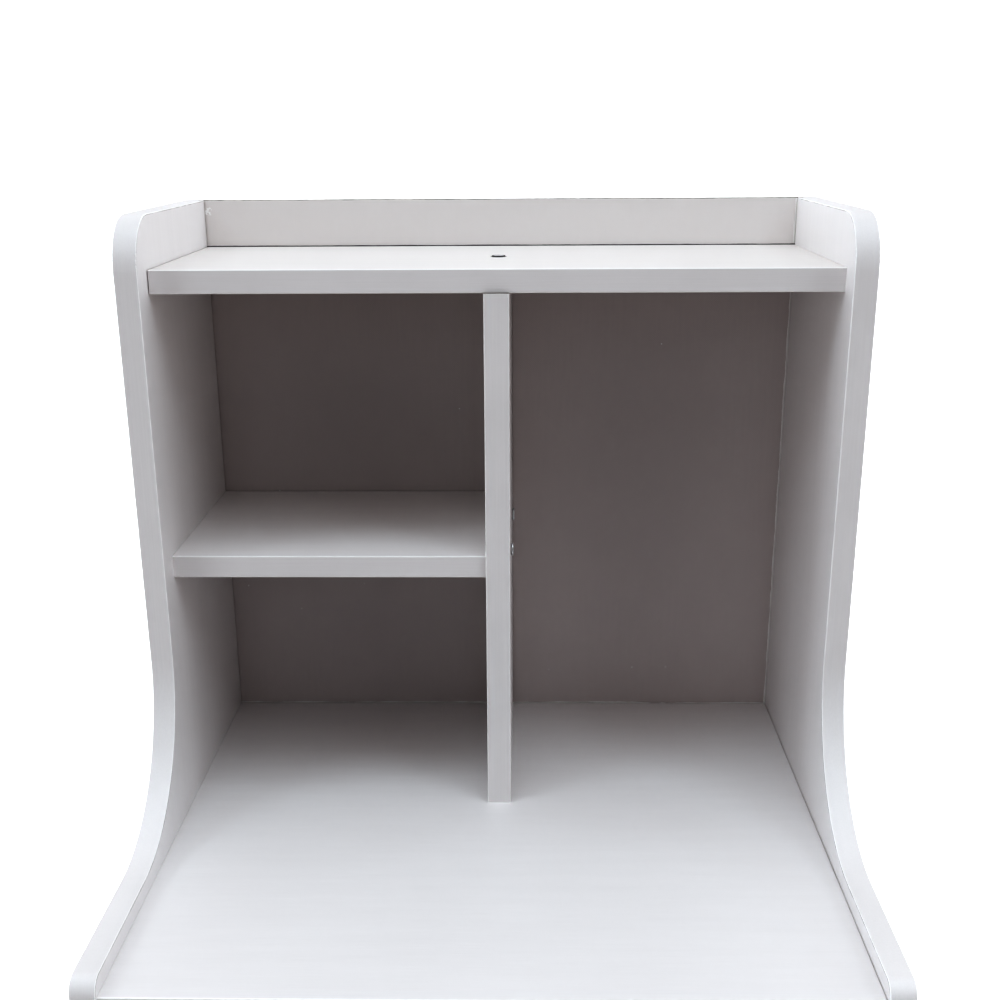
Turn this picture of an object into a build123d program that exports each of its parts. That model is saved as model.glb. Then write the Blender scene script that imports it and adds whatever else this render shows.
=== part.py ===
"""Open desk hutch: two swept side panels, a base board, two shelves, a divider and a thin back.

Millimetres, +Z up, +X to the viewer's right, the open front towards -Y.
The origin is the centre of the footprint, on the surface that the hutch stands on.
"""

from build123d import *
import os

os.makedirs("parts", exist_ok=True)

# Driving dimensions of the case
width = 500.0
height = 450.0
depth = 440.0
board = 16.0  # thickness of the coated particle board
band_thick = 1.0  # glued edge band
band_round = 0.7  # rounding of the band's two long edges

# Outline of a side panel, seen from the side
upper_depth = 216.0  # the narrow upper part, from the rear edge
top_corner_radius = 35.0
sweep_radius = 112.0  # concave sweep from the upper part down to the lip
lip_height = 28.0
lip_corner_radius = 11.0

# Hardboard back, held in a groove in the sides and the base board
back_thick = 3.0
back_land = 10.0  # of the sides and the base board, behind the back
groove_depth = 5.0
groove_play = 0.15  # behind the back
back_slack = 0.9  # in front of the back, in its groove and behind the shelves
groove_end_gap = 0.5

# Boards between the sides
base_setback = 2.0  # base board front, behind the fronts of the sides
shelf_depth = 180.0
divider_depth = 184.0
rim_height = 36.0  # how far the sides and the back rise above the top shelf
mid_shelf_top = 212.0
divider_board = 17.5  # the divider is a little thicker than the other boards
divider_middle_x = 0.8
shelf_end_gap = 0.5  # left of the top shelf, where the screws don't pull the joint quite shut
base_end_gap = 0.3  # right of the base board

# Confirmat screw, 7 x 50
screw_length = 50.0
head_radius = 5.0
head_rim = 1.0
shoulder_radius = 3.4
shoulder_end = 12.0
thread_radius = 3.0
tip_radius = 1.8
tip_length = 3.0
socket_flats = 4.0  # hexagon key
socket_depth = 2.6
shoulder_hole_radius = 3.5
head_hole_gap = 0.25  # around the head's rim
hole_end_gap = 1.0  # past the end of a screw or a dowel
driven_flush = -0.2  # height of a head above its board's face
driven_high = 0.8
driven_proud = 2.0
driven_deep = -0.6

# Dowels and nails
dowel_radius = 4.0
dowel_length = 30.0
dowel_in_shelf = 11.5
dowel_chamfer = 1.0
nail_radius = 0.7
nail_length = 20.0
nail_head_radius = 1.6
nail_head_thick = 0.6
nail_point = 1.5

# Planes that the boards share
half_width = width / 2
inner_x = half_width - board
rear_y = depth / 2
front_y = -depth / 2
back_rear_y = rear_y - back_land
back_front_y = back_rear_y - back_thick
boards_rear_y = back_front_y - back_slack  # the shelves and the divider end here
shelf_front_y = back_front_y - shelf_depth
divider_front_y = back_front_y - divider_depth
base_front_y = front_y + base_setback
top_shelf_top = height - rim_height
top_shelf_under = top_shelf_top - board
mid_shelf_under = mid_shelf_top - board

divider_left_x = divider_middle_x - divider_board / 2
divider_right_x = divider_middle_x + divider_board / 2

# Ranges along X and Z that a board and its edge band share
base_x = (-inner_x, inner_x - base_end_gap)
top_shelf_x = (-inner_x + shelf_end_gap, inner_x)
mid_shelf_x = (-inner_x, divider_left_x)
divider_x = (divider_left_x, divider_right_x)
base_z = (0, board)
top_shelf_z = (top_shelf_under, top_shelf_top)
mid_shelf_z = (mid_shelf_under, mid_shelf_top)
divider_z = (board, top_shelf_under)
shelf_y = (shelf_front_y + band_thick, boards_rear_y)

# Fastener rows
shelf_screw_spacing = 93.0
shelf_middle_y = back_front_y - shelf_depth / 2
shelf_screw_y = [shelf_middle_y + shelf_screw_spacing / 2, shelf_middle_y - shelf_screw_spacing / 2]
base_screw_y = [rear_y - 50.0, rear_y - 200.0, rear_y - 390.0]
divider_middle_y = back_front_y - divider_depth / 2
divider_dowel_y = [divider_middle_y + 60.0, divider_middle_y - 60.0]
top_shelf_nails = [(x, top_shelf_top - board / 2) for x in (-215.0, -110.0, -30.0, 30.0, 110.0, 215.0)]
mid_shelf_nails = [(x, mid_shelf_top - board / 2) for x in (-190.0, -55.0)]
divider_nails = [(divider_middle_x, z) for z in (75.0, 310.0)]
back_nails = top_shelf_nails + mid_shelf_nails + divider_nails


def seats(points, outward, head_height):
    """Planes at the tops of screw heads, with local +Z out of the board."""
    return [Plane(origin=point, z_dir=outward).offset(head_height) for point in points]


def side_seats(x, y_positions, z, head_height=driven_flush):
    """Screw seats on a face that looks along X, in a row at height z."""
    outward = (1 if x > 0 else -1, 0, 0)
    return seats([(x, y, z) for y in y_positions], outward, head_height)


def nail_seats(places):
    """Planes on the rear face of the back, with local +Z away from the hutch."""
    return [Plane(origin=(x, back_rear_y, z), z_dir=(0, 1, 0)) for x, z in places]


top_shelf_middle_z = top_shelf_top - board / 2
top_shelf_seats = {side: side_seats(side * half_width, shelf_screw_y, top_shelf_middle_z) for side in (-1, 1)}
base_seats = {side: side_seats(side * half_width, base_screw_y, board / 2) for side in (-1, 1)}
left_mid_seats = side_seats(-half_width, shelf_screw_y, mid_shelf_top - board / 2)
side_screw_seats = {
    -1: top_shelf_seats[-1] + left_mid_seats + base_seats[-1],
    1: top_shelf_seats[1] + base_seats[1],
}
mid_shelf_seats = side_seats(divider_right_x, shelf_screw_y, mid_shelf_top - board / 2, driven_proud)
divider_top_seats = seats([(divider_middle_x, divider_middle_y, top_shelf_top)], (0, 0, 1), driven_high)
divider_foot_seats = seats([(divider_middle_x, y, 0) for y in shelf_screw_y], (0, 0, -1), driven_deep)


def side_outline(x, inset):
    """Outline of a side at the plane x, moved in by inset along its banded top and front."""
    upper_front = rear_y - upper_depth + inset
    lip_front = front_y + inset
    lip_top = lip_height - inset
    top = height - inset
    with BuildSketch(Plane.YZ.offset(x)) as outline:
        with BuildLine():
            Polyline(
                (rear_y, 0),
                (rear_y, top),
                (upper_front, top),
                (upper_front, lip_top),
                (lip_front, lip_top),
                (lip_front, 0),
                close=True,
            )
        make_face()
        corners = [
            (upper_front, top, top_corner_radius - inset),
            (upper_front, lip_top, sweep_radius + inset),
            (lip_front, lip_top, lip_corner_radius - inset),
        ]
        for y, z, radius in corners:
            fillet(outline.vertices().sort_by_distance((y, z))[0], radius)
    return outline.sketch


def fill(x_range, y_range, z_range, mode=Mode.ADD):
    """Straight board that fills the given ranges, or with Mode.SUBTRACT a groove."""
    (x_low, x_high), (y_low, y_high), (z_low, z_high) = x_range, y_range, z_range
    with BuildSketch(Plane.XY.offset(z_low)) as footprint:
        with Locations(((x_low + x_high) / 2, (y_low + y_high) / 2)):
            Rectangle(x_high - x_low, y_high - y_low)
    extrude(footprint.sketch, amount=z_high - z_low, mode=mode)


def cut_back_groove(x_range, z_range):
    """Groove that holds an edge of the back."""
    groove_y = (boards_rear_y, back_rear_y + groove_play)
    fill(x_range, groove_y, z_range, Mode.SUBTRACT)


def cut_side_groove(side):
    """Groove in a side's inner face, from the bottom of the base board's groove to the top."""
    x_range = sorted((side * inner_x, side * (inner_x + groove_depth)))
    cut_back_groove(x_range, (board - groove_depth, height))


# Hole that a screw needs in the board under its head, from the head's top down
with BuildPart() as shoulder_hole:
    with BuildSketch(Plane.XZ):
        with BuildLine():
            Polyline(
                (0, driven_proud),
                (head_radius + head_hole_gap, driven_proud),
                (head_radius + head_hole_gap, -head_rim),
                (head_radius, -head_rim),
                (shoulder_hole_radius, -head_rim - head_radius + shoulder_hole_radius),
                (shoulder_hole_radius, -divider_board - driven_proud),
                (0, -divider_board - driven_proud),
                close=True,
            )
        make_face()
    revolve(axis=Axis.Z)

# Screw with its head's top on the XY plane, pointing down
with BuildPart() as confirmat_screw:
    with BuildSketch(Plane.XZ):
        with BuildLine():
            Polyline(
                (0, 0),
                (head_radius, 0),
                (head_radius, -head_rim),
                (shoulder_radius, -head_rim - head_radius + shoulder_radius),
                (shoulder_radius, -shoulder_end),
                (thread_radius, -shoulder_end),
                (thread_radius, tip_length - screw_length),
                (tip_radius, -screw_length),
                (0, -screw_length),
                close=True,
            )
        make_face()
    revolve(axis=Axis.Z)
    with BuildSketch(Plane.XY):
        RegularPolygon(socket_flats / 2, 6, major_radius=False)
    extrude(amount=-socket_depth, mode=Mode.SUBTRACT)

# Nail with its head's top on the XY plane, pointing down
with BuildPart() as panel_nail:
    with BuildSketch(Plane.XZ):
        with BuildLine():
            Polyline(
                (0, 0),
                (nail_head_radius, 0),
                (nail_head_radius, -nail_head_thick),
                (nail_radius, -nail_head_thick),
                (nail_radius, nail_point - nail_length),
                (0, -nail_length),
                close=True,
            )
        make_face()
    revolve(axis=Axis.Z)


def drill_shoulders(screw_seats):
    """Through holes with countersinks, in the board under the screw heads."""
    with Locations(*screw_seats):
        add(shoulder_hole.part, mode=Mode.SUBTRACT)


def drill_threads(screw_seats):
    """Blind holes for the threads, in the board that the screws pull up."""
    with Locations(*screw_seats):
        Hole(thread_radius, depth=screw_length + hole_end_gap)


def drill_nails(places):
    """Nail holes in the rear edge of a board."""
    with Locations(*nail_seats(places)):
        Hole(nail_radius, depth=nail_length)


def drill_dowels(dowel_end):
    """Dowel holes from the joint between the divider and the top shelf into either board."""
    with Locations(*[(divider_middle_x, y, top_shelf_under) for y in divider_dowel_y]):
        Hole(dowel_radius, depth=dowel_end + hole_end_gap)


pieces = {}

for side, side_name in ((-1, "left"), (1, "right")):
    low_x = min(side * half_width, side * inner_x)

    with BuildPart() as side_panel:
        extrude(side_outline(low_x, band_thick), amount=board, dir=(1, 0, 0))
        cut_side_groove(side)
        drill_shoulders(side_screw_seats[side])
    pieces[f"{side_name}_side_panel"] = side_panel

    with BuildPart() as side_band:
        extrude(side_outline(low_x, 0), amount=board, dir=(1, 0, 0))
        outline_edges = side_band.faces().filter_by(Axis.X).edges()
        fillet(outline_edges.filter_by(lambda e: e.center().Y < rear_y and e.center().Z > 0), band_round)
        extrude(side_outline(low_x, band_thick), amount=board, dir=(1, 0, 0), mode=Mode.SUBTRACT)
        cut_side_groove(side)
    pieces[f"{side_name}_side_edge_band"] = side_band

    with BuildPart() as side_screws:
        with Locations(*side_screw_seats[side]):
            add(confirmat_screw.part)
    pieces[f"{side_name}_side_screws"] = side_screws

with BuildPart() as base_board:
    fill(base_x, (base_front_y + band_thick, rear_y), base_z)
    cut_back_groove(base_x, (board - groove_depth, board))
    drill_threads(base_seats[-1] + base_seats[1])
    drill_shoulders(divider_foot_seats)
pieces["base_board"] = base_board

with BuildPart() as top_shelf:
    fill(top_shelf_x, shelf_y, top_shelf_z)
    drill_threads(top_shelf_seats[-1] + top_shelf_seats[1])
    drill_shoulders(divider_top_seats)
    drill_dowels(dowel_in_shelf)
    drill_nails(top_shelf_nails)
pieces["top_shelf"] = top_shelf

with BuildPart() as mid_shelf:
    fill(mid_shelf_x, shelf_y, mid_shelf_z)
    drill_threads(left_mid_seats + mid_shelf_seats)
    drill_nails(mid_shelf_nails)
pieces["mid_shelf"] = mid_shelf

with BuildPart() as divider:
    fill(divider_x, (divider_front_y + band_thick, boards_rear_y), divider_z)
    drill_shoulders(mid_shelf_seats)
    drill_threads(divider_top_seats + divider_foot_seats)
    drill_dowels(dowel_length - dowel_in_shelf)
    drill_nails(divider_nails)
pieces["divider"] = divider

with BuildPart() as back_panel:
    back_edge_x = inner_x + groove_depth - groove_end_gap
    back_bottom = board - groove_depth + groove_end_gap
    fill((-back_edge_x, back_edge_x), (back_front_y, back_rear_y), (back_bottom, height))
    with Locations(*nail_seats(back_nails)):
        CounterBoreHole(nail_radius, nail_head_radius, nail_head_thick, depth=back_thick)
pieces["back_panel"] = back_panel

straight_bands = {
    "base_board_edge_band": (base_x, base_front_y, base_z, Axis.X),
    "top_shelf_edge_band": (top_shelf_x, shelf_front_y, top_shelf_z, Axis.X),
    "mid_shelf_edge_band": (mid_shelf_x, shelf_front_y, mid_shelf_z, Axis.X),
    "divider_edge_band": (divider_x, divider_front_y, divider_z, Axis.Z),
}
for label, (x_range, band_front, z_range, long_axis) in straight_bands.items():
    with BuildPart() as straight_band:
        fill(x_range, (band_front, band_front + band_thick), z_range)
        fillet(straight_band.faces().sort_by(Axis.Y)[0].edges().filter_by(long_axis), band_round)
    pieces[label] = straight_band

inner_screws = {
    "mid_shelf_screws": mid_shelf_seats,
    "divider_top_screw": divider_top_seats,
    "divider_foot_screws": divider_foot_seats,
}
for label, screw_seats in inner_screws.items():
    with BuildPart() as screws:
        with Locations(*screw_seats):
            add(confirmat_screw.part)
    pieces[label] = screws

with BuildPart() as divider_dowels:
    dowel_middle = top_shelf_under + dowel_in_shelf - dowel_length / 2
    with Locations(*[(divider_middle_x, y, dowel_middle) for y in divider_dowel_y]):
        Cylinder(dowel_radius, dowel_length)
    chamfer(divider_dowels.edges().filter_by(GeomType.CIRCLE), dowel_chamfer)
pieces["divider_dowels"] = divider_dowels

with BuildPart() as back_panel_nails:
    with Locations(*nail_seats(back_nails)):
        add(panel_nail.part)
pieces["back_panel_nails"] = back_panel_nails

for label, piece in pieces.items():
    piece.part.label = label
    export_step(piece.part, f"parts/{label}.step")
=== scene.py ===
"""Looks of the open desk hutch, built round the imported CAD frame. Metres, +Z up, front towards -Y."""

import math

import bmesh
import bpy
from mathutils import Matrix, Vector


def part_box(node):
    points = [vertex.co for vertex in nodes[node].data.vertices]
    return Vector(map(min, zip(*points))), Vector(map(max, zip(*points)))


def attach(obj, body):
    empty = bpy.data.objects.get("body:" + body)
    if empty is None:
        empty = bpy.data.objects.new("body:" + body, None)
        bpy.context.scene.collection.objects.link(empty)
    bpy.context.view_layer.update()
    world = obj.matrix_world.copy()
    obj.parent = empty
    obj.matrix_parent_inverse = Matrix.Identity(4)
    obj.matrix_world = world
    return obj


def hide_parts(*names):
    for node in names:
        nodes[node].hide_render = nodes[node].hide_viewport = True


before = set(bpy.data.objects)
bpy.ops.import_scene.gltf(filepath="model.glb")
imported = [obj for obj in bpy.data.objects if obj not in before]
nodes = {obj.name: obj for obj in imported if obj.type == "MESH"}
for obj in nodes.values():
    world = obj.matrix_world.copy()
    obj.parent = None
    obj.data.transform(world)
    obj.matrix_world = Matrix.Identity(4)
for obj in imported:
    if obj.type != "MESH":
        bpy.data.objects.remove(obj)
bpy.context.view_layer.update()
scene = bpy.context.scene

MM = 0.001
X, Y, Z = 0, 1, 2
NO_PAINTED_LIGHT = (1.0, 1.0, 1.0)
BOARDS = {  # board: (axis across its coated faces, axis of its grain, tone of its foil, which is painted light: darker on the top shelf, lighter on the mid shelf)
    "left_side_panel": (X, Z, NO_PAINTED_LIGHT),
    "right_side_panel": (X, Z, NO_PAINTED_LIGHT),
    "divider": (X, Z, NO_PAINTED_LIGHT),
    "base_board": (Z, X, NO_PAINTED_LIGHT),
    "top_shelf": (Z, X, (0.965, 0.958, 0.942)),
    "mid_shelf": (Z, X, (1.045, 1.04, 1.035)),
}
BANDS = {  # edge band: (axis that it mostly runs along, axis across the faces of its board)
    "left_side_edge_band": (Z, X),
    "right_side_edge_band": (Z, X),
    "base_board_edge_band": (X, Z),
    "top_shelf_edge_band": (X, Z),
    "mid_shelf_edge_band": (X, Z),
    "divider_edge_band": (Z, X),
}
DOWEL_LENGTH, DOWEL_RADIUS = 30.0 * MM, 4.0 * MM
NAIL_LENGTH, NAIL_SHANK, NAIL_HEAD = 20.0 * MM, 0.7 * MM, 1.6 * MM
SCREWS = (
    "left_side_screws",
    "right_side_screws",
    "mid_shelf_screws",
    "divider_top_screw",
    "divider_foot_screws",
)


# ---------------------------------------------------------------- camera

def add_camera():
    """Camera at the photograph's viewing angle: in front, a little right of centre, looking down."""
    back_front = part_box("back_panel")[0].y
    board_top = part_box("base_board")[1].z
    aside, away, above = 0.0202, 1.0803, 0.4889
    cam = bpy.data.cameras.new("camera")
    cam.sensor_width = 36.0
    cam.lens = 47.5
    cam.shift_y = 0.077
    cam.clip_start = 0.01
    cam.clip_end = 200.0
    cam.dof.use_dof = False
    obj = bpy.data.objects.new("camera", cam)
    obj.location = (aside, back_front - away, board_top + above)
    yaw, pitch, roll = 0.020, -0.330, 0.006
    aim = Matrix.Rotation(yaw, 3, "Z") @ Matrix.Rotation(pitch, 3, "X") @ Matrix.Rotation(roll, 3, "Y")
    right, forward, up = aim.col[0], aim.col[1], aim.col[2]
    obj.rotation_euler = Matrix((right, up, -forward)).transposed().to_euler()
    scene.collection.objects.link(obj)
    scene.camera = obj


# ---------------------------------------------------------------- studio

BLACK = (0.0, 0.0, 0.0, 1.0)
WHITE = (1.0, 1.0, 1.0, 1.0)
FLOOR_WHITE = (0.85, 0.85, 0.86, 1.0)
DAYLIGHT = (0.785, 0.920, 1.0)
NEUTRAL = (0.992, 0.986, 1.0)
AMBIENT = 0.540
BACKDROP_GLOW = 2.0
FLOOR_GLOW = 0.35
BACKDROP_RADIUS, FLOOR_RADIUS = 30.0, 25.0
CARD_DISTANCE, CARD_HALF_WIDTH, CARD_HEIGHT, CARD_GLOW = 2.5, 4.0, 0.9, 0.45
SUNS = (  # (name, azimuth, elevation, angle that it fills, strength), angles in degrees
    ("overhead", 0, 90, 24, 0.050),
    ("overhead_front", 0, 75, 22, 0.345),
    ("front", 0, 15, 22, 0.065),
    ("front_left", -58, 45, 22, 0.225),
    ("front_right", 50, 45, 22, 0.220),
    ("low_front_left", -50, 2, 22, 0.107),
    ("low_left", -90, 2, 22, 0.760),
    ("low_right", 90, 15, 22, 0.310),
)
DARK_LIFT = math.radians(5.0)  # height of the dark patch's middle above the horizon
DARK_INNER = math.radians(20.0)  # quite dark within this angle of it
DARK_OUTER = math.radians(40.0)  # and as bright as elsewhere beyond this one


def add_sun(name, azimuth, elevation, angle, strength, colour):
    """Soft light from far away. Azimuth 0 is the front, 90 the right; elevation is above the horizon."""
    sun = bpy.data.lights.new(name, "SUN")
    sun.energy = strength
    sun.angle = math.radians(angle)
    sun.color = colour
    obj = bpy.data.objects.new(name, sun)
    az, el = math.radians(azimuth), math.radians(elevation)
    towards = Vector((math.sin(az) * math.cos(el), -math.cos(az) * math.cos(el), math.sin(el)))
    obj.rotation_euler = towards.to_track_quat("Z", "Y").to_euler()
    scene.collection.objects.link(obj)


def add_ambient(strength, colour):
    """Even light from all round, except from a dark patch straight in front, as behind a camera."""
    world = bpy.data.worlds.new("ambient")
    world.use_nodes = True
    tree = world.node_tree
    coordinates = tree.nodes.new("ShaderNodeTexCoord")
    toward_front = tree.nodes.new("ShaderNodeVectorMath")
    toward_front.operation = "DOT_PRODUCT"
    tree.links.new(coordinates.outputs["Generated"], toward_front.inputs[0])
    toward_front.inputs[1].default_value = (0.0, -math.cos(DARK_LIFT), math.sin(DARK_LIFT))
    low, high = math.cos(DARK_OUTER), math.cos(DARK_INNER)
    level = spread(tree, toward_front.outputs["Value"], low, high, strength, 0.0)
    background = tree.nodes["Background"]
    background.inputs["Color"].default_value = (*colour, 1.0)
    tree.links.new(level, background.inputs["Strength"])
    scene.world = world


def light_studio():
    """Cool soft light from overhead and from the sides, in a more neutral light from all round."""
    add_ambient(AMBIENT, NEUTRAL)
    for name, azimuth, elevation, angle, strength in SUNS:
        add_sun(name, azimuth, elevation, angle, strength, DAYLIGHT)
    scene.view_settings.view_transform = "Standard"
    scene.view_settings.look = "Very High Contrast"
    scene.view_settings.gamma = 0.78


def hide_from_light(obj):
    """Keeps a stage object from lighting or shading the hutch."""
    obj.visible_diffuse = False
    obj.visible_glossy = False
    obj.visible_transmission = False
    obj.visible_shadow = False


def linked_object(name, data):
    """Object that shows a mesh, in the scene."""
    obj = bpy.data.objects.new(name, data)
    scene.collection.objects.link(obj)
    return obj


def object_from(mesh, name):
    """Object made from a bmesh, which is freed."""
    data = bpy.data.meshes.new(name)
    mesh.to_mesh(data)
    mesh.free()
    return linked_object(name, data)


def glow(obj, material_name, base, strength):
    """Gives a stage object a base colour and an even white glow."""
    mat, tree, shader = new_material(material_name)
    shader.inputs["Base Color"].default_value = base
    shader.inputs["Emission Color"].default_value = WHITE
    shader.inputs["Emission Strength"].default_value = strength
    obj.data.materials.append(mat)
    return shader


def add_backdrop(radius):
    """White dome that only the camera sees."""
    mesh = bmesh.new()
    bmesh.ops.create_uvsphere(mesh, u_segments=48, v_segments=24, radius=radius)
    obj = object_from(mesh, "backdrop")
    glow(obj, "backdrop_white", BLACK, BACKDROP_GLOW)
    hide_from_light(obj)


def add_floor(radius):
    """Plain white floor, bright enough that only a soft contact shadow shows."""
    mesh = bmesh.new()
    bmesh.ops.create_circle(mesh, cap_ends=True, segments=96, radius=radius)
    obj = object_from(mesh, "floor")
    shader = glow(obj, "floor_white", FLOOR_WHITE, FLOOR_GLOW)
    shader.inputs["Roughness"].default_value = 0.9
    obj.visible_diffuse = False
    obj.visible_glossy = False


def add_rear_card(distance, half_width, height, strength):
    """White wall behind the hutch, seen only as the sheen that it leaves on faces at a grazing view."""
    corners = (
        (-half_width, distance, 0.0),
        (half_width, distance, 0.0),
        (half_width, distance, height),
        (-half_width, distance, height),
    )
    data = bpy.data.meshes.new("rear_card")
    data.from_pydata(corners, [], [(0, 1, 2, 3)])
    obj = linked_object("rear_card", data)
    glow(obj, "card_white", BLACK, strength)
    obj.visible_camera = False
    obj.visible_diffuse = False
    obj.visible_transmission = False
    obj.visible_shadow = False


# ---------------------------------------------------------------- node helpers

def new_material(name):
    """Empty node material, with its tree and its shader."""
    mat = bpy.data.materials.new(name)
    mat.use_nodes = True
    return mat, mat.node_tree, mat.node_tree.nodes["Principled BSDF"]


def feed(tree, socket, value):
    """Links an output to a socket, or sets the socket to a plain value."""
    if isinstance(value, bpy.types.NodeSocket):
        tree.links.new(value, socket)
    else:
        socket.default_value = value


def maths(tree, operation, first, second=0.0):
    """Output of one Math node."""
    node = tree.nodes.new("ShaderNodeMath")
    node.operation = operation
    feed(tree, node.inputs[0], first)
    feed(tree, node.inputs[1], second)
    return node.outputs[0]


def weighted(tree, *terms):
    """Sum of (value, weight) pairs."""
    total = None
    for value, weight in terms:
        term = maths(tree, "MULTIPLY", value, weight)
        total = term if total is None else maths(tree, "ADD", total, term)
    return total


def position(tree, stretch=(1.0, 1.0, 1.0)):
    """Place on the object in metres, each axis multiplied by its stretch."""
    coordinates = tree.nodes.new("ShaderNodeTexCoord")
    mapping = tree.nodes.new("ShaderNodeMapping")
    mapping.inputs["Scale"].default_value = stretch
    tree.links.new(coordinates.outputs["Object"], mapping.inputs["Vector"])
    return mapping.outputs["Vector"]


def noise(tree, place, size, detail=2.0, roughness=0.5):
    """Noise from 0 to 1 whose blotches are about size metres across."""
    node = tree.nodes.new("ShaderNodeTexNoise")
    node.inputs["Scale"].default_value = 1.0 / size
    node.inputs["Detail"].default_value = detail
    node.inputs["Roughness"].default_value = roughness
    tree.links.new(place, node.inputs["Vector"])
    return node.outputs["Fac"]


def spread(tree, value, low, high, to_low=0.0, to_high=1.0):
    """Maps low..high to to_low..to_high, clamped."""
    node = tree.nodes.new("ShaderNodeMapRange")
    feed(tree, node.inputs["Value"], value)
    node.inputs["From Min"].default_value = low
    node.inputs["From Max"].default_value = high
    node.inputs["To Min"].default_value = to_low
    node.inputs["To Max"].default_value = to_high
    return node.outputs["Result"]


def blend_colour(tree, factor, first, second, mode="MIX"):
    """Colour between first and second; each is an output or an (r, g, b)."""
    node = tree.nodes.new("ShaderNodeMix")
    node.data_type = "RGBA"
    node.blend_type = mode
    feed(tree, node.inputs[0], factor)
    for socket, colour in ((node.inputs[6], first), (node.inputs[7], second)):
        feed(tree, socket, (*colour, 1.0) if isinstance(colour, tuple) else colour)
    return node.outputs[2]


def add_bump(tree, shader, height, distance):
    """Raises the surface by height times distance metres."""
    node = tree.nodes.new("ShaderNodeBump")
    node.inputs["Strength"].default_value = 1.0
    node.inputs["Distance"].default_value = distance
    tree.links.new(height, node.inputs["Height"])
    tree.links.new(node.outputs["Normal"], shader.inputs["Normal"])


def facing(tree, axis):
    """Component along an axis of the direction that the surface faces."""
    geometry = tree.nodes.new("ShaderNodeNewGeometry")
    parts = tree.nodes.new("ShaderNodeSeparateXYZ")
    tree.links.new(geometry.outputs["True Normal"], parts.inputs[0])
    return parts.outputs[axis]


def along(axis, stretch):
    """Scale that makes a pattern longer along one axis."""
    scale = [1.0, 1.0, 1.0]
    scale[axis] = 1.0 / stretch
    return tuple(scale)


# ---------------------------------------------------------------- materials

WHITE_FOIL = (0.829, 0.800, 0.792)
WHITE_FOIL_DARK = (0.798, 0.769, 0.761)
JOINT_PAINTED_LIGHT = (0.97, 0.955, 0.94)
PRINT = (0.712, 0.652, 0.638)
PRINT_DARK = (0.672, 0.614, 0.602)
RAIL_FOOT_SHADE = (0.19, 0.18, 0.175)
BRUISE = (0.37, 0.355, 0.345)
RAIL_PAINTED_LIGHT = (0.46, 0.44, 0.41)  # painted light: how far the print above the top shelf is towards white, where it is lit above the bays
GLUE_LINE = (0.30, 0.27, 0.25)
SCREW_RIM_SHADE = (0.10, 0.095, 0.09)
SPECK = (0.93, 0.93, 0.92)
FIBRE_DARK = (0.16, 0.095, 0.05)
FIBRE = (0.33, 0.215, 0.125)
ZINC = (0.88, 0.88, 0.88)
ZINC_DARK = (0.66, 0.66, 0.67)
NAIL_STEEL = (0.52, 0.51, 0.50)
NAIL_STEEL_DARK = (0.36, 0.35, 0.34)
BEECH = (0.66, 0.47, 0.29)
BEECH_DARK = (0.50, 0.32, 0.18)
BEECH_FLECK = (0.30, 0.17, 0.09)
BAND = (0.795, 0.763, 0.754)
BAND_DARK = (0.766, 0.735, 0.726)
ARRIS_HIGHLIGHT = (0.96, 0.94, 0.93)
RAW_CHIP = (0.40, 0.30, 0.20)
RAW_CHIP_LIGHT = (0.60, 0.49, 0.35)


def raw_chips(tree):
    """Cut edge of particle board: (colour, height) of pressed wood chips."""
    place = position(tree)
    cells = tree.nodes.new("ShaderNodeTexVoronoi")
    cells.inputs["Scale"].default_value = 1.0 / (2.2 * MM)
    tree.links.new(place, cells.inputs["Vector"])
    parts = tree.nodes.new("ShaderNodeSeparateColor")
    tree.links.new(cells.outputs["Color"], parts.inputs[0])
    fibres = noise(tree, place, 0.7 * MM, detail=4.0, roughness=0.7)
    shade = maths(tree, "MULTIPLY", maths(tree, "ADD", parts.outputs[0], fibres), 0.5)
    colour = blend_colour(tree, spread(tree, shade, 0.2, 0.8), RAW_CHIP, RAW_CHIP_LIGHT)
    return colour, shade


def from_head(tree, screw):
    """Distance from the middle of the head of a screw that is driven down."""
    low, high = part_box(screw)
    away = tree.nodes.new("ShaderNodeVectorMath")
    away.operation = "DISTANCE"
    tree.links.new(position(tree), away.inputs[0])
    away.inputs[1].default_value = ((low.x + high.x) / 2.0, (low.y + high.y) / 2.0, high.z)
    return away.outputs["Value"]


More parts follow.
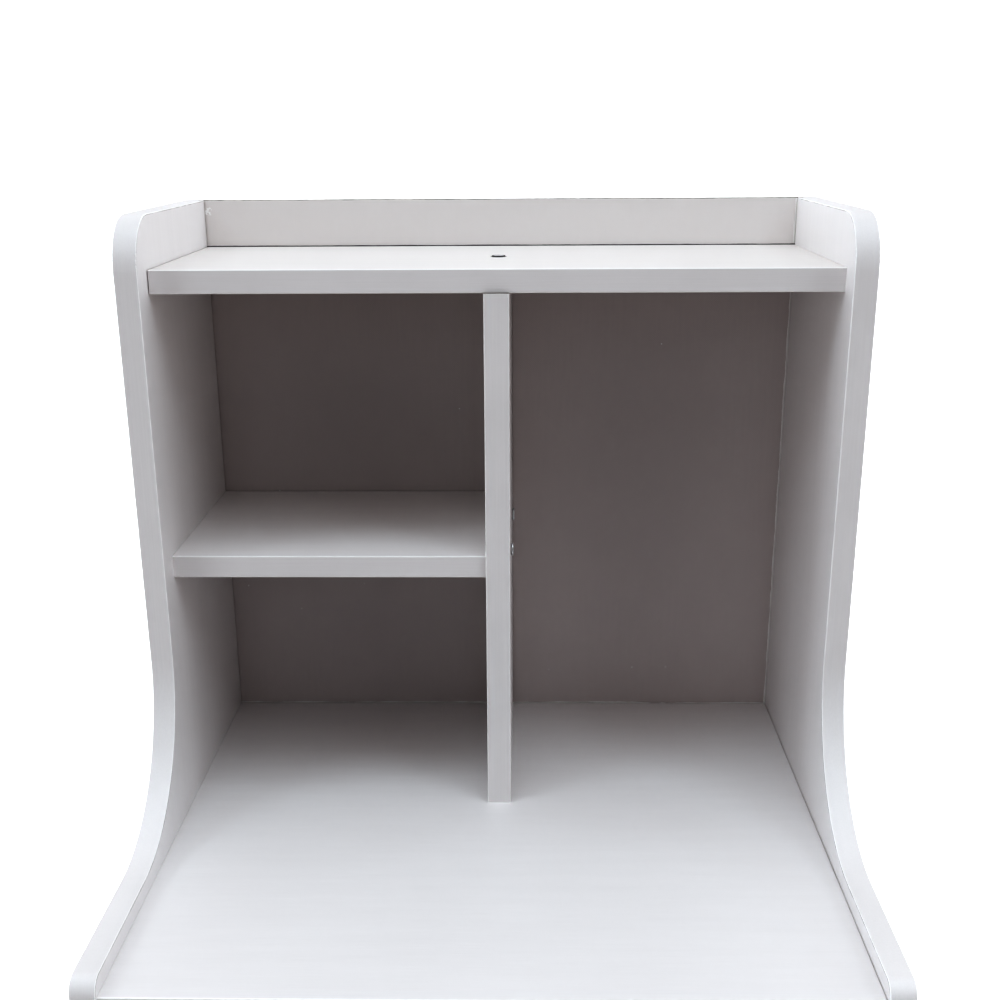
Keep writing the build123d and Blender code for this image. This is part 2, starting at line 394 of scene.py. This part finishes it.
def coated_board(name, across, grain, tone):
    """White foil with a faint grain and painted light on the shelves, a painted shadow round the top screw,
    raw particle board on cut edges, glue on the joined ones.
    """
    mat, tree, shader = new_material(name)
    fine = noise(tree, position(tree, along(grain, 40.0)), 0.8 * MM, detail=3.0, roughness=0.6)
    broad = noise(tree, position(tree, along(grain, 14.0)), 9.0 * MM, detail=2.0)
    cloud = noise(tree, position(tree), 120.0 * MM, detail=2.0)
    figure = weighted(tree, (fine, 0.5), (broad, 0.3), (cloud, 0.2))
    foil = blend_colour(tree, spread(tree, figure, 0.3, 0.7), WHITE_FOIL_DARK, WHITE_FOIL)
    # painted light: the shelves' tones darken the top shelf's foil and lighten the mid shelf's, as the
    # light falls on them
    foil = blend_colour(tree, 1.0, foil, tone, "MULTIPLY")
    if name.startswith("top_shelf"):
        # painted shade: a dark ring on the top shelf's foil round the head of the divider's top screw,
        # where the rim of its hole is in shadow
        ring = spread(tree, from_head(tree, "divider_top_screw"), 5.6 * MM, 6.2 * MM, 0.9, 0.0)
        foil = blend_colour(tree, ring, foil, SCREW_RIM_SHADE)
    chips, chip_height = raw_chips(tree)
    joined = maths(tree, "MAXIMUM", facing(tree, Z), maths(tree, "MULTIPLY", facing(tree, Y), -1.0))
    chips = blend_colour(tree, maths(tree, "GREATER_THAN", joined, 0.5), chips, GLUE_LINE)
    is_coated = maths(tree, "GREATER_THAN", maths(tree, "ABSOLUTE", facing(tree, across)), 0.5)
    feed(tree, shader.inputs["Base Color"], blend_colour(tree, is_coated, chips, foil))

    pearl = noise(tree, position(tree), 0.55 * MM, detail=2.0)
    gloss = spread(tree, maths(tree, "ADD", cloud, pearl), 0.7, 1.3, 0.40, 0.50)
    rough = maths(tree, "MULTIPLY", is_coated, gloss)
    raw_rough = maths(tree, "MULTIPLY", maths(tree, "SUBTRACT", 1.0, is_coated), 0.9)
    feed(tree, shader.inputs["Roughness"], maths(tree, "ADD", rough, raw_rough))

    foil_height = weighted(tree, (pearl, 0.6), (fine, 0.4))
    foil_height = maths(tree, "MULTIPLY", foil_height, 0.12)
    height = tree.nodes.new("ShaderNodeMix")
    feed(tree, height.inputs[0], is_coated)
    feed(tree, height.inputs[2], chip_height)
    feed(tree, height.inputs[3], foil_height)
    add_bump(tree, shader, height.outputs[0], 0.25 * MM)
    return mat


def glue_line(tree, beside_foil):
    """How much of a dark glue line shows: on the sides' rounded corners and lips, less elsewhere."""
    parts = tree.nodes.new("ShaderNodeSeparateXYZ")
    tree.links.new(position(tree), parts.inputs[0])
    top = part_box("left_side_panel")[1].z
    corner_start, corner_full = top - 60.0 * MM, top - 35.0 * MM
    sweep_full, sweep_end = 95.0 * MM, 140.0 * MM
    at_corner, at_lip, everywhere = 0.55, 0.85, 0.1
    near_top = spread(tree, parts.outputs[Z], corner_start, corner_full, 0.0, at_corner)
    near_lip = spread(tree, parts.outputs[Z], sweep_full, sweep_end, 1.0, 0.0)
    local = maths(tree, "MULTIPLY", maths(tree, "ADD", near_top, near_lip), at_lip)
    where = maths(tree, "ADD", local, everywhere)
    ragged = spread(tree, noise(tree, position(tree), 14.0 * MM, detail=3.0), 0.35, 0.6, 0.3, 1.0)
    return maths(tree, "MULTIPLY", beside_foil, maths(tree, "MULTIPLY", ragged, where))


def edge_band(name, run, across, on_side):
    """White plastic band with faint drawn lines and a painted highlight on its rounded edges, glued to the
    foil.
    """
    mat, tree, shader = new_material(name)
    drawn = noise(tree, position(tree, along(run, 60.0)), 0.9 * MM, detail=2.0)
    cloud = noise(tree, position(tree), 60.0 * MM)
    tone = weighted(tree, (drawn, 0.4), (cloud, 0.6))
    colour = blend_colour(tree, spread(tree, tone, 0.35, 0.65), BAND_DARK, BAND)
    sideways = maths(tree, "ABSOLUTE", facing(tree, across))
    # painted highlight: the band's rounded edges are lightened where they catch the light
    highlight_amount = maths(tree, "MULTIPLY", spread(tree, sideways, 0.2, 0.45), 0.75)
    colour = blend_colour(tree, highlight_amount, colour, ARRIS_HIGHLIGHT)
    beside_foil = maths(tree, "GREATER_THAN", sideways, 0.95)
    if on_side:
        colour = blend_colour(tree, glue_line(tree, beside_foil), colour, GLUE_LINE)
    feed(tree, shader.inputs["Base Color"], colour)
    peel = noise(tree, position(tree), 1.4 * MM, detail=2.0)
    feed(tree, shader.inputs["Roughness"], spread(tree, peel, 0.3, 0.7, 0.46, 0.54))
    height = weighted(tree, (peel, 0.7), (drawn, 0.3))
    add_bump(tree, shader, height, 0.03 * MM)
    return mat


def weave_height(tree, pitch):
    """Height of a fine crossed pattern, as a pressing screen or a linen print leaves it."""
    wobble = noise(tree, position(tree), 6.0 * MM, detail=1.0)
    parts = tree.nodes.new("ShaderNodeSeparateXYZ")
    tree.links.new(position(tree), parts.inputs[0])
    waves = []
    for axis in (X, Z):
        phase = maths(tree, "MULTIPLY", parts.outputs[axis], 2.0 * math.pi / pitch)
        phase = maths(tree, "ADD", phase, maths(tree, "MULTIPLY", wobble, 5.0))
        waves.append(maths(tree, "SINE", phase))
    crossed = maths(tree, "MULTIPLY", waves[0], waves[1])
    return spread(tree, crossed, -1.0, 1.0)


def dust_specks(tree, spacing, size):
    """1 on a few tiny light specks, 0 elsewhere."""
    cells = tree.nodes.new("ShaderNodeTexVoronoi")
    cells.inputs["Scale"].default_value = 1.0 / spacing
    tree.links.new(position(tree), cells.inputs["Vector"])
    parts = tree.nodes.new("ShaderNodeSeparateColor")
    tree.links.new(cells.outputs["Color"], parts.inputs[0])
    is_small = maths(tree, "LESS_THAN", cells.outputs["Distance"], size / spacing)
    return maths(tree, "MULTIPLY", is_small, maths(tree, "GREATER_THAN", parts.outputs[1], 0.45))


def ragged_line(tree, coordinate, edge, least, most, size):
    """1 nearer than an uneven distance, from least to most, to a plane across one axis."""
    distance = maths(tree, "ABSOLUTE", maths(tree, "SUBTRACT", coordinate, edge))
    ragged = noise(tree, position(tree), size, detail=4.0, roughness=0.65)
    return maths(tree, "LESS_THAN", distance, spread(tree, ragged, 0.38, 0.62, least, most))


def ragged_spot(tree, centre, reach):
    """1 on a ragged spot round a point."""
    away = tree.nodes.new("ShaderNodeVectorMath")
    away.operation = "DISTANCE"
    tree.links.new(position(tree), away.inputs[0])
    away.inputs[1].default_value = centre
    ragged = noise(tree, position(tree), 2.2 * MM, detail=3.0)
    return maths(tree, "LESS_THAN", away.outputs["Value"], spread(tree, ragged, 0.40, 0.60, 0.0, reach))


def margins_with_painted_light_and_wear(tree, colour):
    """Print with pale lines of painted light along its joints and a painted glint at a corner, painted
    shade at the foot of the rail and a bruised top edge.
    """
    parts = tree.nodes.new("ShaderNodeSeparateXYZ")
    tree.links.new(position(tree), parts.inputs[0])
    across, up = parts.outputs[X], parts.outputs[Z]
    left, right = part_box("left_side_panel")[1].x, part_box("right_side_panel")[0].x
    front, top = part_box("back_panel")[0].y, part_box("back_panel")[1].z
    shelf_top, base_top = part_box("top_shelf")[1].z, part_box("base_board")[1].z
    # painted light: pale lines along the right and bottom joints where light comes through, and a painted
    # glint at the top left corner
    right_joint = ragged_line(tree, across, right, 0.9 * MM, 1.6 * MM, 25.0 * MM)
    base_joint = ragged_line(tree, up, base_top, 0.2 * MM, 1.5 * MM, 60.0 * MM)
    corner = ragged_spot(tree, (left + 1.5 * MM, front, top - 9.0 * MM), 4.5 * MM)
    # painted shade: a dark line on the print just above the top shelf, at the foot of the rail
    rail_foot = ragged_line(tree, up, shelf_top, 0.5 * MM, 0.75 * MM, 25.0 * MM)
    top_edge = ragged_line(tree, up, top, 0.1 * MM, 0.6 * MM, 25.0 * MM)
    for amount, wear in (
        (right_joint, JOINT_PAINTED_LIGHT),
        (base_joint, JOINT_PAINTED_LIGHT),
        (corner, JOINT_PAINTED_LIGHT),
        (rail_foot, RAIL_FOOT_SHADE),
        (top_edge, BRUISE),
    ):
        colour = blend_colour(tree, amount, colour, wear)
    return colour


def linen_print(tree, weave):
    """White print of the back: linen, clouds and a few specks, with painted light making it lighter above
    the top shelf.
    """
    cloud = noise(tree, position(tree), 45.0 * MM, detail=3.0)
    streak = noise(tree, position(tree, along(Z, 12.0)), 3.0 * MM, detail=2.0)
    tone = weighted(tree, (weave, 0.35), (cloud, 0.35), (streak, 0.3))
    colour = blend_colour(tree, spread(tree, tone, 0.3, 0.7), PRINT_DARK, PRINT)
    parts = tree.nodes.new("ShaderNodeSeparateXYZ")
    tree.links.new(position(tree), parts.inputs[0])
    shelf_low, shelf_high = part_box("top_shelf")[0].z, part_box("top_shelf")[1].z
    # painted light: the print is screened towards white above the top shelf
    above_shelf = spread(tree, parts.outputs[Z], shelf_low, shelf_high)
    colour = blend_colour(tree, above_shelf, colour, RAIL_PAINTED_LIGHT, "SCREEN")
    specks = dust_specks(tree, 30.0 * MM, 0.6 * MM)
    return blend_colour(tree, specks, colour, SPECK)


def hardboard(name):
    """Thin back: white linen print in front, brown screen-pressed fibre behind and on its edges."""
    mat, tree, shader = new_material(name)
    front = maths(tree, "LESS_THAN", facing(tree, Y), -0.5)
    weave = weave_height(tree, 1.6 * MM)
    face = margins_with_painted_light_and_wear(tree, linen_print(tree, weave))
    fibres = noise(tree, position(tree), 0.9 * MM, detail=5.0, roughness=0.7)
    bare = blend_colour(tree, spread(tree, fibres, 0.3, 0.7), FIBRE_DARK, FIBRE)
    feed(tree, shader.inputs["Base Color"], blend_colour(tree, front, bare, face))
    rough = maths(tree, "SUBTRACT", 0.85, maths(tree, "MULTIPLY", front, 0.33))
    feed(tree, shader.inputs["Roughness"], rough)
    height = weighted(tree, (weave, 0.5), (fibres, 0.5))
    amount = maths(tree, "SUBTRACT", 1.0, maths(tree, "MULTIPLY", front, 0.75))
    add_bump(tree, shader, maths(tree, "MULTIPLY", height, amount), 0.20 * MM)
    return mat


def plated_metal(name, light, dark, rough_low, rough_high, shaded_screw=None):
    """Plated steel with a slightly uneven finish, and painted shade round the rim of the head of a shaded
    screw.
    """
    mat, tree, shader = new_material(name)
    cloud = noise(tree, position(tree), 3.0 * MM, detail=3.0, roughness=0.6)
    colour = blend_colour(tree, spread(tree, cloud, 0.3, 0.7), dark, light)
    if shaded_screw:
        # painted shade: the rim of that screw's head is darkened where it sits in shadow in its hole
        rim_shade = spread(tree, from_head(tree, shaded_screw), 3.5 * MM, 4.1 * MM, 0.0, 0.9)
        colour = blend_colour(tree, rim_shade, colour, SCREW_RIM_SHADE)
    feed(tree, shader.inputs["Base Color"], colour)
    shader.inputs["Metallic"].default_value = 1.0
    grit = noise(tree, position(tree), 0.35 * MM, detail=3.0)
    feed(tree, shader.inputs["Roughness"], spread(tree, grit, 0.3, 0.7, rough_low, rough_high))
    add_bump(tree, shader, grit, 0.02 * MM)
    return mat


def beech(name, run):
    """Turned beech with short dark flecks along the grain."""
    mat, tree, shader = new_material(name)
    rings = noise(tree, position(tree, along(run, 12.0)), 1.6 * MM, detail=3.0)
    flecks = noise(tree, position(tree, along(run, 5.0)), 0.45 * MM, detail=1.0)
    wood = blend_colour(tree, spread(tree, rings, 0.3, 0.7), BEECH_DARK, BEECH)
    fleck_amount = spread(tree, flecks, 0.60, 0.72, 0.0, 0.6)
    feed(tree, shader.inputs["Base Color"], blend_colour(tree, fleck_amount, wood, BEECH_FLECK))
    feed(tree, shader.inputs["Roughness"], spread(tree, rings, 0.3, 0.7, 0.55, 0.7))
    add_bump(tree, shader, rings, 0.08 * MM)
    return mat


def finish_node(name, mat):
    """Gives a carried-over CAD node its material."""
    for slot in nodes[name].material_slots:
        slot.material = mat


def finish_boards():
    """Foil, bands and back, one material for each direction of grain."""
    for name, (across, grain, tone) in BOARDS.items():
        finish_node(name, coated_board(f"{name}_foil", across, grain, tone))
    for name, (run, across) in BANDS.items():
        finish_node(name, edge_band(f"{name}_plastic", run, across, "_side_" in name))
    finish_node("back_panel", hardboard("hardboard_back"))


# ---------------------------------------------------------------- turned pieces

def islands(node):
    """Point lists of the separate solids in one CAD node."""
    mesh = bmesh.new()
    mesh.from_mesh(nodes[node].data)
    bmesh.ops.remove_doubles(mesh, verts=mesh.verts, dist=0.001 * MM)
    left = set(mesh.verts)
    found = []
    while left:
        todo = [left.pop()]
        points = []
        while todo:
            vert = todo.pop()
            points.append(vert.co.copy())
            for edge in vert.link_edges:
                other = edge.other_vert(vert)
                if other in left:
                    left.remove(other)
                    todo.append(other)
        found.append(points)
    mesh.free()
    return sorted(found, key=lambda points: tuple(round(c, 5) for c in sum(points, Vector()) / len(points)))


def seat(points):
    """Place of a turned solid: its wide end's centre, with local +Z pointing out of that end."""
    low = Vector([min(p[i] for p in points) for i in range(3)])
    high = Vector([max(p[i] for p in points) for i in range(3)])
    size = high - low
    axis = max(range(3), key=lambda i: size[i])
    centre = (low + high) / 2

    def reach(end):
        """Largest distance from the axis of the points near one end."""
        near = [p for p in points if abs(p[axis] - end) < size[axis] * 0.02]
        offsets = [Vector([0.0 if i == axis else p[i] - centre[i] for i in range(3)]) for p in near]
        return max(offset.length for offset in offsets)

    top_is_high = reach(high[axis]) >= reach(low[axis])
    centre[axis] = high[axis] if top_is_high else low[axis]
    outward = Vector((0.0, 0.0, 0.0))
    outward[axis] = 1.0 if top_is_high else -1.0
    return Matrix.Translation(centre) @ outward.to_track_quat("Z", "Y").to_matrix().to_4x4()


def turned(mesh, rows, segments, place):
    """Adds a closed solid of rings, each a (height, radius at an angle), from one end to the other."""
    rings = []
    for height, radius in rows:
        ring = []
        for step in range(segments):
            angle = 2.0 * math.pi * step / segments
            reach = radius(angle)
            spot = Vector((reach * math.cos(angle), reach * math.sin(angle), height))
            ring.append(mesh.verts.new(place @ spot))
        rings.append(ring)
    for first, second in zip(rings, rings[1:]):
        for step in range(segments):
            after = (step + 1) % segments
            mesh.faces.new((first[step], first[after], second[after], second[step])).smooth = True
    mesh.faces.new(list(reversed(rings[0])))
    mesh.faces.new(rings[-1])


def round_ring(radius):
    """Radius that is the same at every angle."""
    return lambda angle: radius


def hexagon(flats):
    """Radius of a hexagon with the given distance across its flats."""
    sixth = math.pi / 3.0
    return lambda angle: flats / 2.0 / math.cos((angle % sixth) - sixth / 2.0)


def screw_thread(core, crest, pitch, height):
    """Radius of a right-hand thread with narrow crests on a straight core."""
    def radius(angle):
        turn = (height / pitch - angle / (2.0 * math.pi)) % 1.0
        crown = max(0.0, 1.0 - abs(turn - 0.5) / 0.22)
        return core + (crest - core) * crown
    return radius


def confirmat_rows():
    """Rings of a confirmat screw from its socket's floor over the head and down to the tip."""
    socket_flats, socket_rim, head, shoulder = 4.0 * MM, 2.65 * MM, 5.0 * MM, 3.4 * MM
    rows = [
        (-2.6 * MM, hexagon(socket_flats)),
        (-0.3 * MM, hexagon(socket_flats)),
        (0.0, round_ring(socket_rim)),
        (0.0, round_ring(head - 0.30 * MM)),
        (-0.09 * MM, round_ring(head - 0.09 * MM)),
        (-0.30 * MM, round_ring(head)),
        (-1.00 * MM, round_ring(head)),
        (-2.60 * MM, round_ring(shoulder)),
        (-11.7 * MM, round_ring(shoulder)),
        (-12.0 * MM, round_ring(shoulder - 0.2 * MM)),
    ]
    core, crest, pitch = 2.15 * MM, 3.0 * MM, 3.0 * MM
    steps_per_turn = 8
    first, last = 12.6 * MM, 46.8 * MM
    count = int((last - first) / pitch * steps_per_turn)
    for step in range(count + 1):
        depth = first + (last - first) * step / count
        fade = min(1.0, (depth - first) / (2.0 * MM), (last - depth) / (4.0 * MM) + 0.25)
        rows.append((-depth, screw_thread(core, core + (crest - core) * fade, pitch, depth)))
    rows.append((-49.0 * MM, round_ring(1.7 * MM)))
    rows.append((-50.0 * MM, round_ring(0.9 * MM)))
    return rows


def dowel_rows(length, radius):
    """Rings of a fluted dowel with chamfered ends."""
    flutes, groove, chamfer = 16, 0.22 * MM, 1.0 * MM

    def fluted(angle):
        return radius - groove * (0.5 - 0.5 * math.cos(flutes * angle)) ** 3

    return [
        (0.0, round_ring(radius - chamfer)),
        (-chamfer, fluted),
        (-length / 2.0, fluted),
        (chamfer - length, fluted),
        (-length, round_ring(radius - chamfer)),
    ]


def nail_rows(length, shank, head):
    """Rings of a panel nail with a flat head and a drawn point."""
    return [
        (0.0, round_ring(head - 0.15 * MM)),
        (-0.12 * MM, round_ring(head)),
        (-0.45 * MM, round_ring(head)),
        (-0.60 * MM, round_ring(head - 0.1 * MM)),
        (-0.60 * MM, round_ring(shank)),
        (1.5 * MM - length, round_ring(shank)),
        (-length, round_ring(0.08 * MM)),
    ]


def replace_turned(node, rows, segments, mat):
    """Replaces a CAD node of turned solids by detailed ones in the same places."""
    mesh = bmesh.new()
    for points in islands(node):
        turned(mesh, rows, segments, seat(points))
    bmesh.ops.recalc_face_normals(mesh, faces=mesh.faces)
    data = bpy.data.meshes.new(f"{node}_detailed")
    mesh.to_mesh(data)
    mesh.free()
    data.materials.append(mat)
    data.set_sharp_from_angle(angle=math.radians(32.0))
    piece = linked_object(f"{node}_detailed", data)
    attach(piece, "root")
    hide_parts(node)


def replace_fasteners():
    """Threaded screws, fluted dowels and nails in place of the plain CAD ones."""
    zinc = plated_metal("zinc_screw", ZINC, ZINC_DARK, 0.30, 0.50)
    rim_shaded_zinc = plated_metal("dirty_zinc_screw", ZINC, ZINC_DARK, 0.30, 0.50, "divider_top_screw")
    steel = plated_metal("nail_steel", NAIL_STEEL, NAIL_STEEL_DARK, 0.35, 0.55)
    for node in SCREWS:
        # the divider's top screw gets the metal with painted shade on the rim of its head
        metal = rim_shaded_zinc if node == "divider_top_screw" else zinc
        replace_turned(node, confirmat_rows(), 36, metal)
    wood = beech("beech_dowel", Z)
    dowel = dowel_rows(DOWEL_LENGTH, DOWEL_RADIUS)
    replace_turned("divider_dowels", dowel, 96, wood)
    nail = nail_rows(NAIL_LENGTH, NAIL_SHANK, NAIL_HEAD)
    replace_turned("back_panel_nails", nail, 16, steel)


# ---------------------------------------------------------------- scene


add_camera()
add_backdrop(BACKDROP_RADIUS)
add_floor(FLOOR_RADIUS)
add_rear_card(CARD_DISTANCE, CARD_HALF_WIDTH, CARD_HEIGHT, CARD_GLOW)
light_studio()
finish_boards()
replace_fasteners()
